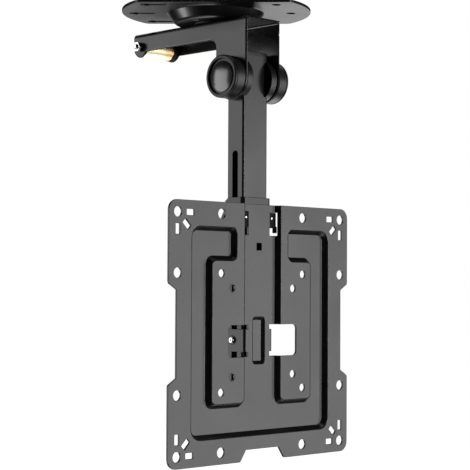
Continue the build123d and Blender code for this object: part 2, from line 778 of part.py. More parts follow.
# moulded guide around the tube, clipped into the two upper slots of the plate
sleeve_mid_y = (sleeve_front + sleeve_rear) / 2
sleeve_corner = tube_corner + sleeve_half_width - half_tube_x
clip_face = floor_front + clip_front
clip_high = clip_slot_top - clip_gap
clip_near_x = clip_inner_x + clip_gap
clip_far_x = clip_outer_x - clip_gap
pin_z = upper_bolt_z + clip_pin_lift
with BuildPart() as guide_sleeve:
    with BuildSketch(level_plane(plate_z + clip_low)):
        with Locations((0, plate_y + sleeve_mid_y)):
            RectangleRounded(2 * sleeve_half_width, sleeve_rear - sleeve_front, sleeve_corner)
    extrude(amount=sleeve_top - clip_low)
    with BuildSketch(side_plane(-sleeve_half_width - 1)):
        with BuildLine():
            Polyline(
                (plate_y + sleeve_rear + 1, plate_z + sleeve_top + 1),
                (plate_y + sleeve_rear + 1, plate_z + sleeve_top - sleeve_slope * (sleeve_slope_run + 1)),
                (plate_y + sleeve_rear - sleeve_slope_run, plate_z + sleeve_top),
                (plate_y + sleeve_rear - sleeve_slope_run, plate_z + sleeve_top + 1),
                close=True,
            )
        make_face()
    extrude(amount=2 * sleeve_half_width + 2, mode=Mode.SUBTRACT)
    for way in (-1, 1):
        with BuildSketch(front_plane(clip_face, plate_z)):
            with Locations((way * (clip_near_x + clip_far_x) / 2, (clip_low + clip_high) / 2)):
                Rectangle(clip_far_x - clip_near_x, clip_high - clip_low)
        extrude(amount=clip_back - clip_front)
        # barb behind the plate's draft wall
        barb_mid = (barb_inner_x + barb_outer_x) / 2
        with BuildSketch(front_plane(plate_y + barb_front, plate_z)):
            with Locations((way * barb_mid, clip_slot_bottom + (barb_low + barb_high) / 2)):
                RectangleRounded(barb_outer_x - barb_inner_x, barb_high - barb_low, 0.5)
        extrude(amount=barb_sheet)
        with BuildSketch(front_plane(clip_face, plate_z)):
            with Locations((way * clip_pin_x, pin_z)):
                Circle(clip_pin_size / 2 + seat_gap)
        extrude(amount=clip_pin_depth + seat_gap, mode=Mode.SUBTRACT)
    with BuildSketch(level_plane(plate_z + clip_slot_bottom)):
        with Locations(tube_centre):
            RectangleRounded(tube_width + 2 * slide_gap, tube_depth + 2 * slide_gap, tube_corner + slide_gap)
    extrude(amount=sleeve_top - clip_slot_bottom + 1, mode=Mode.SUBTRACT)
    with BuildSketch(side_plane(-sleeve_half_width - 1)):
        with Locations((tube_y, plate_z + upper_bolt_z)):
            Circle(upper_bolt_size / 2 + seat_gap)
    extrude(amount=2 * sleeve_half_width + 2, mode=Mode.SUBTRACT)
save(guide_sleeve.part, "guide_sleeve")

# small bright pins in the faces of the clips
for side, name in ((-1, "left"), (1, "right")):
    with BuildPart() as clip_pin:
        with BuildSketch(front_plane(clip_face - seat_gap, plate_z)):
            with Locations((-side * clip_pin_x, pin_z)):
                Circle(clip_pin_head / 2)
        extrude(amount=-clip_pin_rise)
        fillet(faces().sort_by(Axis.Y)[0].edges(), 0.5)
        with BuildSketch(front_plane(clip_face - seat_gap, plate_z)):
            with Locations((-side * clip_pin_x, pin_z)):
                Circle(clip_pin_size / 2)
        extrude(amount=clip_pin_depth)
    save(clip_pin.part, f"clip_pin_{name}")

# clamp bolt that rides in the tube's slots, its washers and hexagon nut
bolt_face = sleeve_half_width + seat_gap
clamp_seat = bolt_face + upper_washer_height + seat_gap
with BuildPart() as clamp_bolt:
    with BuildSketch(side_plane(clamp_seat)):
        with Locations((tube_y, plate_z + upper_bolt_z)):
            Circle(upper_head_size / 2)
    extrude(amount=upper_bolt_size)
    chamfer(faces().sort_by(Axis.X)[-1].edges(), 0.5)
    with BuildSketch(side_plane(clamp_seat + upper_bolt_size)):
        with Locations((tube_y, plate_z + upper_bolt_z)):
            RegularPolygon(upper_socket, 6)
    extrude(amount=-upper_socket_depth, mode=Mode.SUBTRACT)
    with BuildSketch(side_plane(clamp_seat)):
        with Locations((tube_y, plate_z + upper_bolt_z)):
            Circle(upper_bolt_size / 2)
    extrude(amount=-(2 * clamp_seat + upper_nut_height - 0.8))
    chamfer(faces().sort_by(Axis.X)[0].edges(), 0.5)
save(clamp_bolt.part, "clamp_bolt")

for side, name in ((-1, "left"), (1, "right")):
    with BuildPart() as clamp_washer:
        with BuildSketch(side_plane(side * bolt_face)):
            with Locations((tube_y, plate_z + upper_bolt_z)):
                Circle(upper_washer_size / 2)
                Circle(upper_bolt_size / 2 + seat_gap, mode=Mode.SUBTRACT)
        extrude(amount=side * upper_washer_height)
    save(clamp_washer.part, f"clamp_washer_{name}")

with BuildPart() as clamp_nut:
    with BuildSketch(side_plane(-clamp_seat)):
        with Locations((tube_y, plate_z + upper_bolt_z)):
            RegularPolygon(upper_nut_size / 2, 6, major_radius=False)
            Circle(upper_bolt_size / 2 + seat_gap, mode=Mode.SUBTRACT)
    extrude(amount=-upper_nut_height)
save(clamp_nut.part, "clamp_nut")

# bushes in the ears with tongues in the tube's slots
for side, name in ((-1, "left"), (1, "right")):
    with BuildPart() as slot_bush:
        with BuildSketch(side_plane(side * (ear_outer_x - plate_sheet))):
            with Locations((tube_y, plate_z + ear_pin_z)):
                Circle(ear_hole / 2 - seat_gap)
        extrude(amount=side * plate_sheet)
        with BuildSketch(side_plane(side * (ear_outer_x - plate_sheet))):
            with Locations((tube_y, plate_z + ear_pin_z)):
                Circle(slot_width / 2 - slide_gap)
        extrude(amount=-side * (tube_wall + 0.3))
        with BuildSketch(side_plane(0)):
            with Locations((tube_y, plate_z + ear_pin_z)):
                Circle(lower_screw_size / 2 + seat_gap)
        extrude(amount=side * ear_outer_x, mode=Mode.SUBTRACT)
    save(slot_bush.part, f"slot_bush_{name}")

# cross screw through both bushes, and its nut
screw_face = ear_outer_x + seat_gap
with BuildPart() as ear_screw:
    with BuildSketch(side_plane(-screw_face)):
        with Locations((tube_y, plate_z + ear_pin_z)):
            Circle(lower_head_size / 2)
    extrude(amount=-lower_head_height)
    fillet(faces().sort_by(Axis.X)[0].edges(), 1.1)
    with BuildSketch(side_plane(-screw_face - lower_head_height)):
        with Locations((tube_y, plate_z + ear_pin_z)):
            Rectangle(3.2, 0.8)
            Rectangle(0.8, 3.2)
    extrude(amount=1.3, mode=Mode.SUBTRACT)
    with BuildSketch(side_plane(-screw_face)):
        with Locations((tube_y, plate_z + ear_pin_z)):
            Circle(lower_screw_size / 2)
    extrude(amount=2 * screw_face + lower_nut_height + lower_proud)
save(ear_screw.part, "ear_screw")

with BuildPart() as ear_nut:
    with BuildSketch(side_plane(screw_face)):
        with Locations((tube_y, plate_z + ear_pin_z)):
            RegularPolygon(lower_nut_size / 2, 6, major_radius=False)
            Circle(lower_screw_size / 2 + seat_gap, mode=Mode.SUBTRACT)
    extrude(amount=lower_nut_height)
save(ear_nut.part, "ear_nut")

# plated cross bar between the rear lobes, with a bush at its right end
bar_seat = arm_inner_x - seat_gap
bar_end = bar_seat - bar_bush_length - seat_gap
with BuildPart() as cross_bar:
    with BuildSketch(side_plane(-bar_seat)):
        with Locations((lobe_y, lobe_z)):
            Circle(bar_radius)
            Circle(rear_screw_size / 2 + seat_gap, mode=Mode.SUBTRACT)
    extrude(amount=bar_seat + bar_end)
    bar_rims = edges().filter_by(GeomType.CIRCLE).filter_by(lambda e: e.radius > bar_radius - 0.01)
    chamfer(bar_rims, 0.4)
save(cross_bar.part, "cross_bar")

with BuildPart() as bar_bush:
    with BuildSketch(side_plane(bar_seat)):
        with Locations((lobe_y, lobe_z)):
            Circle(bar_radius + bar_bush_rise)
            Circle(rear_screw_size / 2 + seat_gap, mode=Mode.SUBTRACT)
    extrude(amount=-bar_bush_length)
    bush_rims = edges().filter_by(GeomType.CIRCLE).filter_by(lambda e: e.radius > bar_radius)
    fillet(bush_rims, 0.4)
save(bar_bush.part, "bar_bush")

rear_face = arm_half_width + seat_gap
rear_seat = rear_face + rear_washer_height + seat_gap
for side, name in ((-1, "left"), (1, "right")):
    with BuildPart() as bar_washer:
        with BuildSketch(side_plane(side * rear_face)):
            with Locations((lobe_y, lobe_z)):
                Circle(rear_washer_size / 2)
                Circle(rear_screw_size / 2 + seat_gap, mode=Mode.SUBTRACT)
        extrude(amount=side * rear_washer_height)
    save(bar_washer.part, f"bar_washer_{name}")

with BuildPart() as bar_screw:
    with BuildSketch(side_plane(rear_seat)):
        with Locations((lobe_y, lobe_z)):
            Circle(rear_head_size / 2)
    extrude(amount=rear_head_height)
    fillet(faces().sort_by(Axis.X)[-1].edges(), 1.4)
    with BuildSketch(side_plane(rear_seat + rear_head_height)):
        with Locations((lobe_y, lobe_z)):
            Rectangle(4.8, 1.1)
            Rectangle(1.1, 4.8)
    extrude(amount=-1.6, mode=Mode.SUBTRACT)
    with BuildSketch(side_plane(rear_seat)):
        with Locations((lobe_y, lobe_z)):
            Circle(rear_screw_size / 2)
    extrude(amount=-(2 * rear_seat + rear_nut_height + rear_screw_proud))
    chamfer(faces().sort_by(Axis.X)[0].edges(), 0.6)
save(bar_screw.part, "bar_screw")

with BuildPart() as bar_nut:
    with BuildSketch(side_plane(-rear_seat)):
        with Locations((lobe_y, lobe_z)):
            RegularPolygon(rear_nut_size / 2, 6, major_radius=False)
            Circle(rear_screw_size / 2 + seat_gap, mode=Mode.SUBTRACT)
    extrude(amount=-rear_nut_height)
save(bar_nut.part, "bar_nut")
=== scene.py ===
# Ceiling mount for a flat screen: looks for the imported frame, in metres.
import json
import math

import bmesh
import bpy
from mathutils import Matrix, Vector


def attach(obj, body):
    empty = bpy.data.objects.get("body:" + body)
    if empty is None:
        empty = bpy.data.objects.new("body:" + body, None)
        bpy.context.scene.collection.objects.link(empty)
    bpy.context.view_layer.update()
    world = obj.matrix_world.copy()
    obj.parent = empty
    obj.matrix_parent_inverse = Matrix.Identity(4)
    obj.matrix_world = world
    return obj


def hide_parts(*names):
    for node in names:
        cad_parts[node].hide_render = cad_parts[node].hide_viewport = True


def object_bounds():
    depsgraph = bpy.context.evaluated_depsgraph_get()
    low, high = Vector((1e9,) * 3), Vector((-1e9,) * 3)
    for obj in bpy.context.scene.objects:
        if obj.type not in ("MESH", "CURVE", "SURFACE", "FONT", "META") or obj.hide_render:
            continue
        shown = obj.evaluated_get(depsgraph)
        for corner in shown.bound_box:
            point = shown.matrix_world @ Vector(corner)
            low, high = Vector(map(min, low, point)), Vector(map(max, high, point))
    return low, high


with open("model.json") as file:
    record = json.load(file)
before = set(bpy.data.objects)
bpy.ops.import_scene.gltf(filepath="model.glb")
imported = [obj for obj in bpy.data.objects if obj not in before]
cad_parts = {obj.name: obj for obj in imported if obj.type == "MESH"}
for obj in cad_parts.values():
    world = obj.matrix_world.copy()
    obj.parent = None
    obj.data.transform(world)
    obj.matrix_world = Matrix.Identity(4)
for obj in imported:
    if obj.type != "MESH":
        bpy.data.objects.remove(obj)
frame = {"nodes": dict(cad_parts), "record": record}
nodes = frame["nodes"]
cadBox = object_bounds()
scene = bpy.context.scene
print("stage: frame loaded,", len(nodes), "nodes")

# camera, fitted to the screen plate's hole pattern
cameraLook = {
    "place": (-0.9084, -0.9432, -0.2484),
    "yawDeg": 44.70,
    "pitchDeg": 2.052,
    "rollDeg": 0.282,
    "lensMm": 112.38,
    "sensorMm": 36.0,
    "clip": (0.05, 30.0),
}


def aimCamera(look):
    yaw, pitch, roll = (math.radians(look[angle]) for angle in ("yawDeg", "pitchDeg", "rollDeg"))
    ahead = Vector((math.sin(yaw) * math.cos(pitch), math.cos(yaw) * math.cos(pitch), math.sin(pitch)))
    level = Vector((math.cos(yaw), -math.sin(yaw), 0.0))
    upright = level.cross(ahead)
    right = level * math.cos(roll) + upright * math.sin(roll)
    top = upright * math.cos(roll) - level * math.sin(roll)
    turn = Matrix((right, top, -ahead)).transposed()
    data = bpy.data.cameras.new("photoCamera")
    data.lens = look["lensMm"]
    data.sensor_width = look["sensorMm"]
    data.clip_start, data.clip_end = look["clip"]
    cam = bpy.data.objects.new("photoCamera", data)
    scene.collection.objects.link(cam)
    cam.matrix_world = Matrix.Translation(look["place"]) @ turn.to_4x4()
    scene.camera = cam


aimCamera(cameraLook)
scene.view_settings.view_transform = "Standard"

# lamps: soft panels low on the right, behind the arm and above, all turned to the object
lampLook = {
    "aim": (0.0, 0.0, -0.2),
    "panels": {
        "panelRight": {"place": (1.09, -1.30, -0.45), "size": (0.95, 1.3), "watts": 13.5},
        "panelFront": {"place": (0.25, -1.60, -0.30), "size": (0.35, 1.2), "watts": 15.0},
        "panelBehind": {"place": (-1.25, 1.20, -0.30), "size": (1.2, 1.6), "watts": 14.5},
        "panelAbove": {"place": (0.35, 0.35, 1.30), "size": (1.8, 1.8), "watts": 14.0},
        "glintLeft": {"place": (-0.90, 1.31, -1.02), "size": (0.5, 0.35), "watts": 5.0},
    },
}


def addPanel(name, look, aim):
    data = bpy.data.lights.new(name, "AREA")
    data.shape = "RECTANGLE"
    data.size, data.size_y = look["size"]
    data.energy = look["watts"]
    lamp = bpy.data.objects.new(name, data)
    scene.collection.objects.link(lamp)
    lamp.location = look["place"]
    lamp.rotation_mode = "QUATERNION"
    lamp.rotation_quaternion = (Vector(aim) - Vector(look["place"])).to_track_quat("-Z", "Y")
    lamp.visible_camera = False


for panelName, panelLook in lampLook["panels"].items():
    addPanel(panelName, panelLook, lampLook["aim"])


# helpers that add nodes to a tree; make takes an input's name with an underscore for each space
def nodeMaker(tree):
    def make(kind, **inputs):
        node = tree.nodes.new(kind)
        for label, value in inputs.items():
            node.inputs[label.replace("_", " ")].default_value = value
        return node
    return make, tree.links.new


def addStep(tree, kind, first, second):
    step = tree.nodes.new("ShaderNodeMath")
    step.operation = kind
    for socket, value in zip(step.inputs, (first, second)):
        if isinstance(value, float):
            socket.default_value = value
        else:
            tree.links.new(value, socket)
    return step.outputs["Value"]


def addDistance(tree, spot, way):
    measured = tree.nodes.new("ShaderNodeVectorMath")
    measured.operation = "DOT_PRODUCT"
    measured.inputs[1].default_value = way
    tree.links.new(spot, measured.inputs[0])
    return measured.outputs["Value"]


def addRange(tree, value, span, low, high):
    ranged = tree.nodes.new("ShaderNodeMapRange")
    ranged.inputs["From Min"].default_value, ranged.inputs["From Max"].default_value = span
    ranged.inputs["To Min"].default_value = low
    ranged.inputs["To Max"].default_value = high
    tree.links.new(value, ranged.inputs["Value"])
    return ranged.outputs["Result"]


def alongAxis(tree, spot, axis):
    parts = tree.nodes.new("ShaderNodeSeparateXYZ")
    tree.links.new(spot, parts.inputs["Vector"])
    return parts.outputs[axis]


def pickBy(tree, chooser, otherwise, chosen):
    pick = tree.nodes.new("ShaderNodeMixShader")
    for socket, source in zip(pick.inputs, (chooser, otherwise, chosen)):
        tree.links.new(source, socket)
    return pick.outputs["Shader"]


white = (1, 1, 1, 1)

# surround: white to the camera; polished faces see it bright only low down and away from the camera
surroundLook = {
    "strength": 0.12,
    "away": (0.70, 0.70, 0.0),
    "edge": (0.90, 0.98),  # dark to bright, by how closely a ray runs along away
    "rise": (0.12, -0.22),  # dark to bright, by a ray's height
    "glossAbove": 0.02,
    "glossBelow": 1.6,
}


def paleWorld(look):
    world = bpy.data.worlds.new("paleSurround")
    world.use_nodes = True
    scene.world = world
    tree = world.node_tree
    tree.nodes.clear()
    make, join = nodeMaker(tree)
    shown = make("ShaderNodeBackground", Color=white, Strength=1.0)
    lit = make("ShaderNodeBackground", Color=white, Strength=look["strength"])
    glossed = make("ShaderNodeBackground", Color=white)
    spot = make("ShaderNodeTexCoord").outputs["Generated"]
    height = alongAxis(tree, spot, "Z")
    below = addRange(tree, height, look["rise"], look["glossAbove"], look["glossBelow"])
    side = addRange(tree, addDistance(tree, spot, look["away"]), look["edge"], 0.0, 1.0)
    join(addStep(tree, "MULTIPLY", below, side), glossed.inputs["Strength"])
    ray = make("ShaderNodeLightPath").outputs
    unseen = pickBy(tree, ray["Is Glossy Ray"], lit.outputs["Background"], glossed.outputs["Background"])
    out = make("ShaderNodeOutputWorld")
    join(pickBy(tree, ray["Is Camera Ray"], unseen, shown.outputs["Background"]), out.inputs["Surface"])


# floor: pale to the camera; polished faces see one bright patch that starts under the object
# and widens as it runs away from the camera
floorLook = {
    "reach": 6.0,
    "drop": 0.75,
    "paint": (0.82, 0.82, 0.82, 1),
    "alongWay": (0.707, 0.707, 0.0),
    "acrossWay": (0.707, -0.707, 0.0),
    "gloss": 5.5,
    "near": (-0.25, 0.10),  # the patch begins
    "far": (0.4, 2.2),  # and falls to its far share
    "farShare": 0.19,
    "half": (0.15, 0.65),  # half its width, full to none
    "widening": 0.4,
    "leftEdge": (-0.65, 0.25),  # it is weaker on the left
}


def layFloor(look):
    mesh = bpy.data.meshes.new("paleFloor")
    reach, low = look["reach"], cadBox[0].z - look["drop"]
    corners = [(-reach, -reach, low), (reach, -reach, low), (reach, reach, low), (-reach, reach, low)]
    mesh.from_pydata(corners, [], [(0, 1, 2, 3)])
    floor = bpy.data.objects.new("paleFloor", mesh)
    scene.collection.objects.link(floor)
    mat = bpy.data.materials.new("paleFloor")
    mat.use_nodes = True
    tree = mat.node_tree
    tree.nodes.clear()
    make, join = nodeMaker(tree)
    matt = make("ShaderNodeBsdfDiffuse", Color=look["paint"])
    ray = make("ShaderNodeLightPath").outputs
    spot = make("ShaderNodeTexCoord").outputs["Object"]
    along, across = (addDistance(tree, spot, look[way]) for way in ("alongWay", "acrossWay"))
    widened = addStep(tree, "MULTIPLY", along, look["widening"])
    outside = addStep(tree, "SUBTRACT", addStep(tree, "ABSOLUTE", across, 0.0), widened)
    patch = addRange(tree, along, look["near"], 0.0, look["gloss"])
    for part in (
        addRange(tree, along, look["far"], 1.0, look["farShare"]),
        addRange(tree, outside, look["half"], 1.0, 0.0),
        addRange(tree, across, look["leftEdge"], 0.0, 1.0),
    ):
        patch = addStep(tree, "MULTIPLY", patch, part)
    shown = make("ShaderNodeEmission", Color=white)
    join(ray["Is Camera Ray"], shown.inputs["Strength"])
    plain = make("ShaderNodeAddShader")
    join(matt.outputs["BSDF"], plain.inputs[0])
    join(shown.outputs["Emission"], plain.inputs[1])
    glow = make("ShaderNodeEmission", Color=white)
    join(patch, glow.inputs["Strength"])
    both = pickBy(tree, ray["Is Glossy Ray"], plain.outputs["Shader"], glow.outputs["Emission"])
    out = make("ShaderNodeOutputMaterial")
    join(both, out.inputs["Surface"])
    mesh.materials.append(mat)


paleWorld(surroundLook)
layFloor(floorLook)
print("stage: camera, lamps, surround and floor")


# finishes, all on Object coordinates; a noise is given as its scale, detail and roughness, and
# its values between the ends of noiseSpan are spread over the finish's own roughness;
# the plain colour and the middle roughness stand in wherever the nodes aren't read
noiseSpan = (0.3, 0.7)


def startFinish(name, look):
    mat = bpy.data.materials.new(name)
    mat.use_nodes = True
    tree = mat.node_tree
    skin = tree.nodes["Principled BSDF"]
    skin.inputs["Base Color"].default_value = (*look["colour"], 1)
    skin.inputs["Metallic"].default_value = look["metallic"]
    skin.inputs["Roughness"].default_value = sum(look["roughness"]) / 2
    skin.inputs["Specular IOR Level"].default_value = look["specular"]
    spot = tree.nodes.new("ShaderNodeTexCoord").outputs["Object"]
    return mat, tree, skin, spot


def noiseOf(tree, spot, scale, detail, rough):
    noise = tree.nodes.new("ShaderNodeTexNoise")
    noise.inputs["Scale"].default_value = scale
    noise.inputs["Detail"].default_value = detail
    noise.inputs["Roughness"].default_value = rough
    tree.links.new(spot, noise.inputs["Vector"])
    return noise.outputs["Fac"]


def roughenBy(tree, skin, value, span):
    tree.links.new(addRange(tree, value, noiseSpan, *span), skin.inputs["Roughness"])


def tint(tree, value, stops):
    ramp = tree.nodes.new("ShaderNodeValToRGB")
    first, last = ramp.color_ramp.elements
    (first.position, firstColour), (last.position, lastColour) = stops[0], stops[-1]
    first.color, last.color = (*firstColour, 1), (*lastColour, 1)
    for where, colour in stops[1:-1]:
        ramp.color_ramp.elements.new(where).color = (*colour, 1)
    tree.links.new(value, ramp.inputs["Fac"])
    return ramp.outputs["Color"]


def raiseBy(tree, skin, value, strength, depth):
    bump = tree.nodes.new("ShaderNodeBump")
    bump.inputs["Strength"].default_value = strength
    bump.inputs["Distance"].default_value = depth
    tree.links.new(value, bump.inputs["Height"])
    tree.links.new(bump.outputs["Normal"], skin.inputs["Normal"])


powderLook = {
    "colour": (0.004, 0.004, 0.0042),
    "tones": [(0.35, (0.004, 0.004, 0.0042)), (0.65, (0.006, 0.006, 0.0063))],
    "metallic": 0.0,
    "specular": 0.5,
    "cloud": (26.0, 4.0, 0.5),
    "peel": (700.0, 2.0, 0.5),
    "roughness": (0.26, 0.32),
    "bump": (0.10, 0.0002),
}


def makePowder(look):
    mat, tree, skin, spot = startFinish("satinBlackPowder", look)
    cloud = noiseOf(tree, spot, *look["cloud"])
    peel = noiseOf(tree, spot, *look["peel"])
    tree.links.new(tint(tree, cloud, look["tones"]), skin.inputs["Base Color"])
    roughenBy(tree, skin, cloud, look["roughness"])
    raiseBy(tree, skin, peel, *look["bump"])
    return mat


plasticLook = {
    "colour": (0.004, 0.004, 0.0042),
    "tones": [(0.35, (0.004, 0.004, 0.0042)), (0.65, (0.006, 0.006, 0.0063))],
    "metallic": 0.0,
    "specular": 0.45,
    "cloud": (60.0, 3.0, 0.5),
    "grain": (1600.0, 4.0, 0.7),
    "roughness": (0.36, 0.46),
    "bump": (0.18, 0.00012),
}
# the sleeve: its clips, below the polished collar, are left as they come from the mould
sleeveLook = {
    **plasticLook,
    "colour": (0.002, 0.002, 0.0022),
    "tones": [(0.35, (0.002, 0.002, 0.0022)), (0.65, (0.004, 0.004, 0.0042))],
    "specular": 0.50,
    "grain": (1300.0, 4.0, 0.7),
    "roughness": (0.30, 0.36),
    "clipRoughness": 0.95,
    "collar": (-0.1800, -0.1790),
}
bushLook = {
    **plasticLook,
    "colour": (0.002, 0.002, 0.0022),
    "tones": [(0.35, (0.002, 0.002, 0.0022)), (0.65, (0.003, 0.003, 0.0032))],
    "specular": 0.3,
    "grain": (900.0, 4.0, 0.7),
    "roughness": (0.80, 0.95),
}


def makePlastic(name, look):
    mat, tree, skin, spot = startFinish(name, look)
    cloud = noiseOf(tree, spot, *look["cloud"])
    grain = noiseOf(tree, spot, *look["grain"])
    tree.links.new(tint(tree, cloud, look["tones"]), skin.inputs["Base Color"])
    sheen = addRange(tree, grain, noiseSpan, *look["roughness"])
    if "clipRoughness" in look:
        clips = addRange(tree, alongAxis(tree, spot, "Z"), look["collar"], look["clipRoughness"], 0.0)
        sheen = addStep(tree, "MAXIMUM", clips, sheen)
    tree.links.new(sheen, skin.inputs["Roughness"])
    raiseBy(tree, skin, grain, *look["bump"])
    return mat


glossLook = {
    "colour": (0.006, 0.006, 0.0065),
    "metallic": 0.0,
    "specular": 0.95,
    "coat": 0.4,
    "coatRoughness": 0.12,
    "smear": (180.0, 3.0, 0.5),
    "roughness": (0.20, 0.24),
}


def makeGloss(look):
    mat, tree, skin, spot = startFinish("glossBlackButton", look)
    skin.inputs["Coat Weight"].default_value = look["coat"]
    skin.inputs["Coat Roughness"].default_value = look["coatRoughness"]
    roughenBy(tree, skin, noiseOf(tree, spot, *look["smear"]), look["roughness"])
    return mat


zincLook = {
    "colour": (0.74, 0.75, 0.77),
    "tones": [(0.3, (0.62, 0.64, 0.67)), (0.7, (0.84, 0.85, 0.87))],
    "metallic": 1.0,
    "specular": 0.5,
    "cloud": (260.0, 2.0, 0.5),
    "roughness": (0.18, 0.34),
    "bump": (0.03, 0.00002),
}


def makeZinc(look):
    mat, tree, skin, spot = startFinish("brightZinc", look)
    cloud = noiseOf(tree, spot, *look["cloud"])
    tree.links.new(tint(tree, cloud, look["tones"]), skin.inputs["Base Color"])
    roughenBy(tree, skin, cloud, look["roughness"])
    raiseBy(tree, skin, cloud, *look["bump"])
    return mat


# yellow plating in four tones, with a painted shade that darkens them towards the bar's right end
goldLook = {
    "colour": (0.86, 0.66, 0.30),
    "tones": [
        (0.28, (0.86, 0.62, 0.32)),
        (0.45, (0.95, 0.82, 0.52)),
        (0.60, (0.97, 0.90, 0.66)),
        (0.75, (0.90, 0.78, 0.48)),
    ],
    "metallic": 1.0,
    "specular": 0.5,
    # painted shade: the colour the plating is darkened to at the bar's right end, and the span along X
    # where it comes in
    "paintedShade": (0.80, 0.52, 0.25),
    "paintedShadeSpan": (0.000, 0.013),
    "cloud": (70.0, 4.0, 0.55),
    "drawn": (900.0, 2.0, 0.5),
    "roughness": (0.44, 0.54),
    "bump": (0.05, 0.0001),
}


def makeGold(look):
    mat, tree, skin, spot = startFinish("yellowZinc", look)
    cloud = noiseOf(tree, spot, *look["cloud"])
    drawn = noiseOf(tree, spot, *look["drawn"])
    # painted shade along X, standing in for the dark reflection at the bar's right end
    paintedShadeFac = addRange(tree, alongAxis(tree, spot, "X"), look["paintedShadeSpan"], 0.0, 1.0)
    toneWithPaintedShade = tree.nodes.new("ShaderNodeMixRGB")
    tree.links.new(paintedShadeFac, toneWithPaintedShade.inputs["Fac"])
    tree.links.new(tint(tree, cloud, look["tones"]), toneWithPaintedShade.inputs["Color1"])
    toneWithPaintedShade.inputs["Color2"].default_value = (*look["paintedShade"], 1)
    tree.links.new(toneWithPaintedShade.outputs["Color"], skin.inputs["Base Color"])
    roughenBy(tree, skin, drawn, look["roughness"])
    raiseBy(tree, skin, drawn, *look["bump"])
    return mat


nylonLook = {
    "colour": (0.030, 0.030, 0.031),
    "metallic": 0.0,
    "specular": 0.35,
    "grain": (500.0, 3.0, 0.5),
    "roughness": (0.48, 0.62),
    "bump": (0.08, 0.0001),
}


def makeNylon(look):
    mat, tree, skin, spot = startFinish("darkNylon", look)
    grain = noiseOf(tree, spot, *look["grain"])
    roughenBy(tree, skin, grain, look["roughness"])
    raiseBy(tree, skin, grain, *look["bump"])
    return mat


oxideLook = {
    "colour": (0.05, 0.05, 0.053),
    "tones": [(0.3, (0.035, 0.035, 0.038)), (0.7, (0.075, 0.074, 0.076))],
    "metallic": 0.7,
    "specular": 0.5,
    "cloud": (300.0, 3.0, 0.5),
    "roughness": (0.30, 0.46),
}


def makeOxide(look):
    mat, tree, skin, spot = startFinish("blackOxideSteel", look)
    cloud = noiseOf(tree, spot, *look["cloud"])
    tree.links.new(tint(tree, cloud, look["tones"]), skin.inputs["Base Color"])
    roughenBy(tree, skin, cloud, look["roughness"])
    return mat


finishes = {
    "black_coat": makePowder(powderLook),
    "black_plastic": makePlastic("mouldedBlackPlastic", plasticLook),
    "matt_plastic": makePlastic("mattBlackPlastic", sleeveLook),
    "gloss_button": makeGloss(glossLook),
    "bright_zinc": makeZinc(zincLook),
    "yellow_zinc": makeGold(goldLook),
    "pale_nylon": makeNylon(nylonLook),
    "dark_steel": makeOxide(oxideLook),
}
slotOf = {entry["node"]: entry["material_slot"] for entry in frame["record"]["subparts"]}
bushFinish = makePlastic("dullBlackRubber", bushLook)
for nodeName, node in nodes.items():
    node.data.materials.clear()
    node.data.materials.append(bushFinish if nodeName == "bar_bush" else finishes[slotOf[nodeName]])
print("stage: finishes on the frame's own solids")


def boxOf(node):
    spots = [node.matrix_world @ corner.co for corner in node.data.vertices]
    return [(min(spot[i] for spot in spots), max(spot[i] for spot in spots)) for i in range(3)]


# threads on the free ends of the screws, each a fine ridge wound round its shank;
# the inset runs from the screw's low (0) or high (1) end along its axis to where the ridge starts
threadLook = {
    "barScrewThread": {
        "screw": "bar_screw", "body": "arm", "finish": "bright_zinc",
        "axis": "X", "end": 0, "inset": 0.00070,
        "radius": 0.0025, "pitch": 0.0007, "turns": 1.5, "ridge": 0.00024,
    },
    "earScrewThread": {
        "screw": "ear_screw", "body": "carriage", "finish": "bright_zinc",
        "axis": "X", "end": 1, "inset": -0.00096,
        "radius": 0.0020, "pitch": 0.0006, "turns": 1.4, "ridge": 0.00020,
    },
    "swivelBoltThread": {
        "screw": "swivel_bolt", "body": "ceiling", "finish": "bright_zinc",
        "axis": "Z", "end": 0, "inset": 0.00006,
        "radius": 0.0050, "pitch": 0.0005, "turns": 1.2, "ridge": 0.00020,
    },
}
threadTurns = {"X": (0.0, math.pi / 2, 0.0), "Z": (0.0, 0.0, 0.0)}
coilSteps, ridgeSides = 48, 6


def treeOf(name, sockets):
    tree = bpy.data.node_groups.new(name, "GeometryNodeTree")
    tree.interface.new_socket("Geometry", in_out="OUTPUT", socket_type="NodeSocketGeometry")
    for label, kind in sockets:
        tree.interface.new_socket(label, in_out="INPUT", socket_type=kind)
    return tree, tree.nodes.new("NodeGroupInput"), tree.nodes.new("NodeGroupOutput")


def bakeTree(name, tree, values):
    shell = bpy.data.objects.new(name + "Source", bpy.data.meshes.new(name + "Source"))
    scene.collection.objects.link(shell)
    grower = shell.modifiers.new("grow", "NODES")
    grower.node_group = tree
    for item in tree.interface.items_tree:
        if item.item_type == "SOCKET" and item.in_out == "INPUT" and item.name in values:
            grower[item.identifier] = values[item.name]
    bpy.context.view_layer.update()
    graph = bpy.context.evaluated_depsgraph_get()
    mesh = bpy.data.meshes.new_from_object(shell.evaluated_get(graph))
    mesh.name = name
    shell.modifiers.remove(grower)
    bpy.data.objects.remove(shell)
    piece = bpy.data.objects.new(name, mesh)
    scene.collection.objects.link(piece)
    return piece


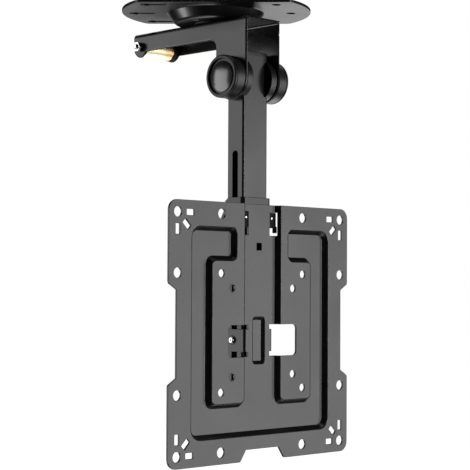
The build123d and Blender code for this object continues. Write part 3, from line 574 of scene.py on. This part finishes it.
def threadTree():
    tree, given, result = treeOf("threadTree", [
        ("Radius", "NodeSocketFloat"), ("Turns", "NodeSocketFloat"), ("Length", "NodeSocketFloat"),
        ("Ridge", "NodeSocketFloat"), ("Place", "NodeSocketVector"), ("Turn", "NodeSocketVector"),
        ("Finish", "NodeSocketMaterial"),
    ])
    join = tree.links.new
    coil = tree.nodes.new("GeometryNodeCurveSpiral")
    coil.inputs["Resolution"].default_value = coilSteps
    join(given.outputs["Turns"], coil.inputs["Rotations"])
    join(given.outputs["Radius"], coil.inputs["Start Radius"])
    join(given.outputs["Radius"], coil.inputs["End Radius"])
    join(given.outputs["Length"], coil.inputs["Height"])
    profile = tree.nodes.new("GeometryNodeCurvePrimitiveCircle")
    profile.inputs["Resolution"].default_value = ridgeSides
    join(given.outputs["Ridge"], profile.inputs["Radius"])
    swept = tree.nodes.new("GeometryNodeCurveToMesh")
    swept.inputs["Fill Caps"].default_value = True
    join(coil.outputs["Curve"], swept.inputs["Curve"])
    join(profile.outputs["Curve"], swept.inputs["Profile Curve"])
    laid = tree.nodes.new("GeometryNodeTransform")
    join(swept.outputs["Mesh"], laid.inputs["Geometry"])
    join(given.outputs["Place"], laid.inputs["Translation"])
    join(given.outputs["Turn"], laid.inputs["Rotation"])
    real = tree.nodes.new("GeometryNodeRealizeInstances")
    join(laid.outputs["Geometry"], real.inputs["Geometry"])
    coat = tree.nodes.new("GeometryNodeSetMaterial")
    join(real.outputs["Geometry"], coat.inputs["Geometry"])
    join(given.outputs["Finish"], coat.inputs["Material"])
    join(coat.outputs["Geometry"], result.inputs["Geometry"])
    return tree


def threadPlace(look):
    screwBox = boxOf(nodes[look["screw"]])
    place = [(low + high) / 2 for low, high in screwBox]
    along = "XYZ".index(look["axis"])
    place[along] = screwBox[along][look["end"]] + look["inset"]
    return place


coilTree = threadTree()
for pieceName, look in threadLook.items():
    thread = bakeTree(pieceName, coilTree, {
        "Radius": look["radius"], "Turns": look["turns"], "Length": look["pitch"] * look["turns"],
        "Ridge": look["ridge"], "Place": threadPlace(look), "Turn": threadTurns[look["axis"]],
        "Finish": finishes[look["finish"]],
    })
    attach(thread, look["body"])
print("stage: threads")


# solids shown with their edges rounded off
softLook = {
    "guide_sleeve": {"piece": "guideSleeveRounded", "body": "carriage", "edge": 0.0004},
    "channel_arm": {"piece": "channelArmRounded", "body": "arm", "edge": 0.0005},
    "drop_tube": {"piece": "dropTubeRounded", "body": "pole", "edge": 0.0003},
    "vesa_plate": {"piece": "screenPlateRounded", "body": "carriage", "edge": 0.0003},
    "ceiling_plate": {"piece": "ceilingPlateRounded", "body": "ceiling", "edge": 0.0004},
    "cap_button_left": {"piece": "capButtonLeftRounded", "body": "arm", "edge": 0.0002},
    "cap_button_right": {"piece": "capButtonRightRounded", "body": "arm", "edge": 0.0002},
}
sharpDeg, flatDeg, weldGap = 30.0, 0.5, 1e-6
# a rib at the outer side of each of the sleeve's clips, measured from the sleeve's middle, face
# and foot
ribLook = {
    "inner": 0.0199, "outer": 0.0217, "depth": 0.0023,
    "foot": 0.0052, "tall": 0.0125, "edge": 0.0003,
}


def roundEdges(shape, rims, edge):
    bmesh.ops.bevel(
        shape, geom=rims, offset=edge, segments=2, profile=0.5, affect="EDGES", clamp_overlap=False
    )


def addRibs(shape, look):
    face, foot = (boxOf(nodes["guide_sleeve"])[i][0] for i in (1, 2))
    low = foot + look["foot"]
    for way in (-1, 1):
        xs = sorted((way * look["inner"], way * look["outer"]))
        corners = [
            (x, y, z) for x in xs for y in (face, face + look["depth"]) for z in (low, low + look["tall"])
        ]
        points = [shape.verts.new(corner) for corner in corners]
        sides = ((0, 1, 3, 2), (4, 6, 7, 5), (0, 4, 5, 1), (2, 3, 7, 6), (0, 2, 6, 4), (1, 5, 7, 3))
        panels = [shape.faces.new([points[i] for i in side]) for side in sides]
        roundEdges(shape, list({edge for panel in panels for edge in panel.edges}), look["edge"])


def softened(node, look):
    solid = node.data.copy()
    solid.transform(node.matrix_world)
    shape = bmesh.new()
    shape.from_mesh(solid)
    bmesh.ops.remove_doubles(shape, verts=shape.verts, dist=weldGap)
    bmesh.ops.dissolve_limit(
        shape, angle_limit=math.radians(flatDeg), verts=shape.verts, edges=shape.edges
    )
    bend = math.radians(sharpDeg)
    sharp = [e for e in shape.edges if len(e.link_faces) == 2 and e.calc_face_angle(0.0) > bend]
    roundEdges(shape, sharp, look["edge"])
    if node.name == "guide_sleeve":
        addRibs(shape, ribLook)
    bmesh.ops.recalc_face_normals(shape, faces=shape.faces)
    # each corner takes the slant of its largest faces, so flats stay flat and only the rims turn
    slants = [
        sum((f.normal * f.calc_area() ** 2 for f in v.link_faces), Vector()).normalized()
        for v in shape.verts
    ]
    loose = [e for e in shape.edges if len(e.link_faces) != 2]
    print("stage: rounded", look["piece"], len(shape.faces), "faces,", len(loose), "open edges")
    mesh = bpy.data.meshes.new(look["piece"])
    shape.to_mesh(mesh)
    shape.free()
    mesh.shade_smooth()
    mesh.normals_split_custom_set_from_vertices(slants)
    piece = bpy.data.objects.new(look["piece"], mesh)
    scene.collection.objects.link(piece)
    return piece


for nodeName, look in softLook.items():
    piece = softened(nodes[nodeName], look)
    piece.data.materials.append(finishes[slotOf[nodeName]])
    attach(piece, look["body"])
    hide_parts(nodeName)
print("stage: rounded edges")
